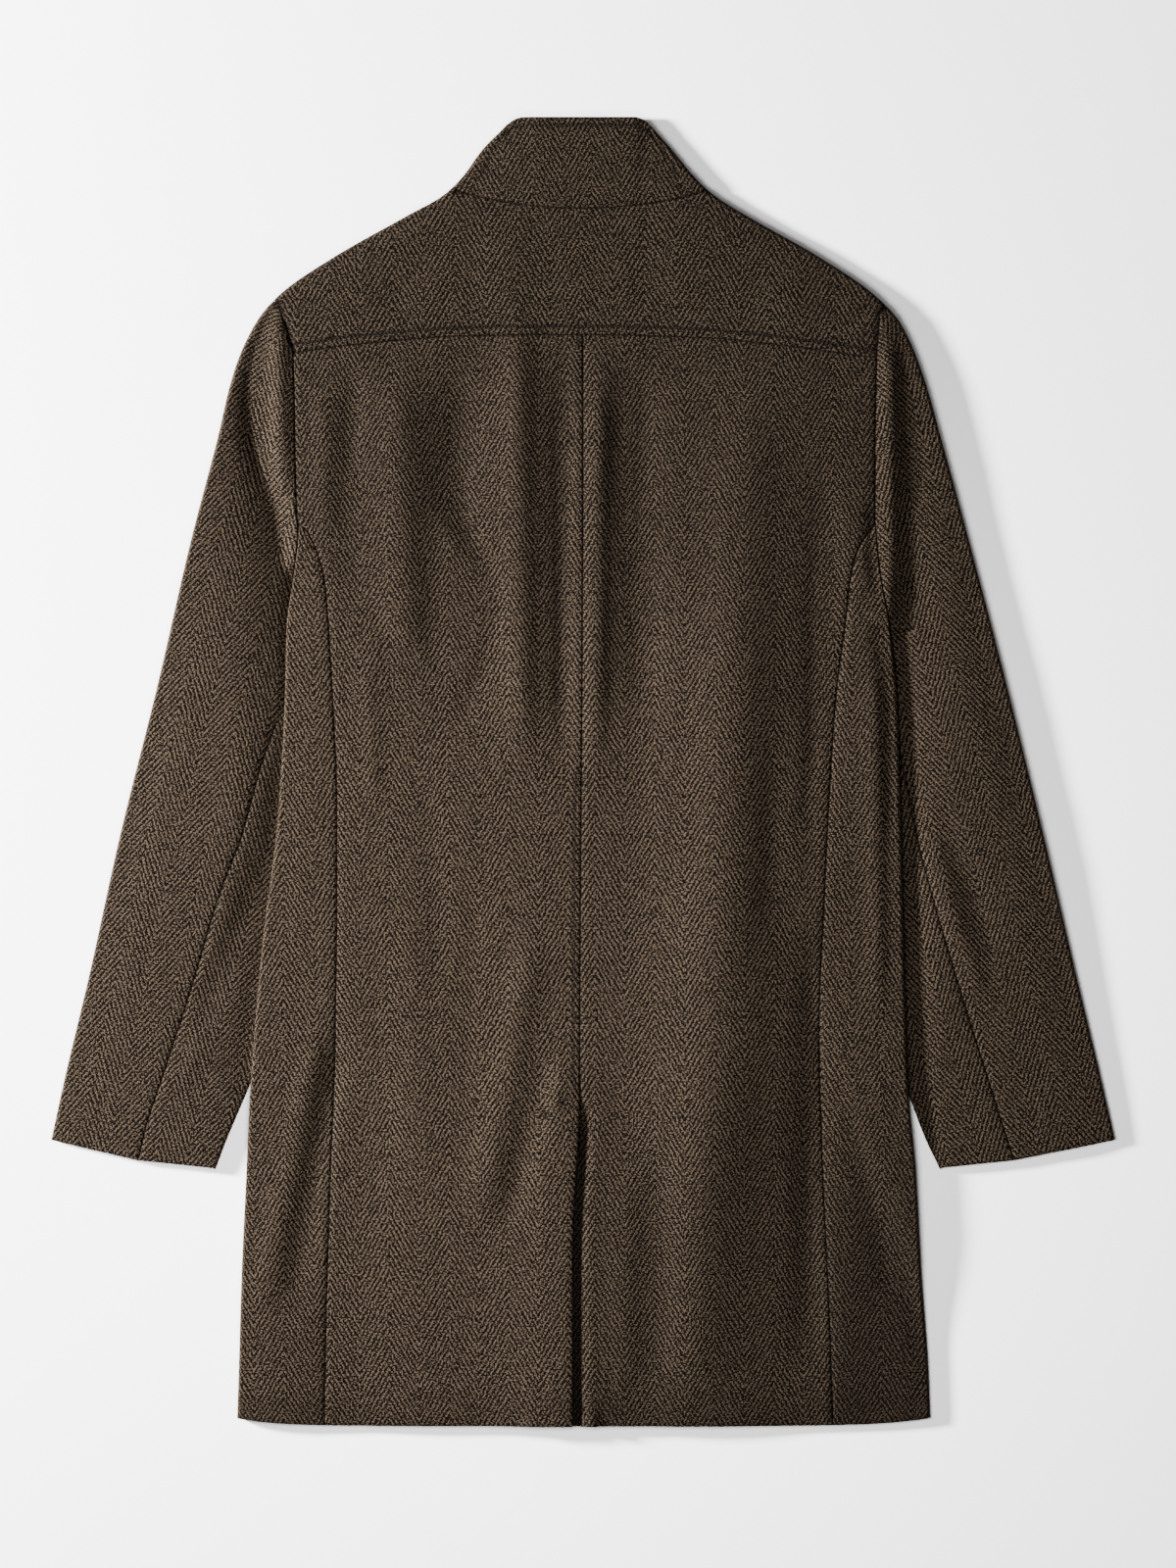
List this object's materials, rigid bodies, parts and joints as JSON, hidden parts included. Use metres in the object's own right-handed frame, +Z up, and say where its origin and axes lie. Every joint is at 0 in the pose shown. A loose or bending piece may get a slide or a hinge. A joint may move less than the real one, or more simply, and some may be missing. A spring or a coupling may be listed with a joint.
{
  "type": "topcoat",
  "caption": "Herringbone wool topcoat with a stand collar, yoked back, side panels and a centre back vent, laid flat with its back up.",
  "frame": {"origin": "on the surface the coat lies on, under the middle of its length and width", "axes": "+Y from the hem to the collar, +X to the wearer's right, +Z up out of the coat's back"},
  "size_m": [0.838, 1.03, 0.0156],
  "materials": {
    "wool_herringbone": "matt brushed wool, woven in herringbone"
  },
  "bodies": {
    "root": {"back_yoke": "wool_herringbone", "back_left": "wool_herringbone", "back_right": "wool_herringbone", "side_left": "wool_herringbone", "side_right": "wool_herringbone", "front_left": "wool_herringbone", "front_right": "wool_herringbone", "collar": "wool_herringbone", "top_sleeve_left": "wool_herringbone", "top_sleeve_right": "wool_herringbone", "under_sleeve_left": "wool_herringbone", "under_sleeve_right": "wool_herringbone"}
  },
  "joints": []
}
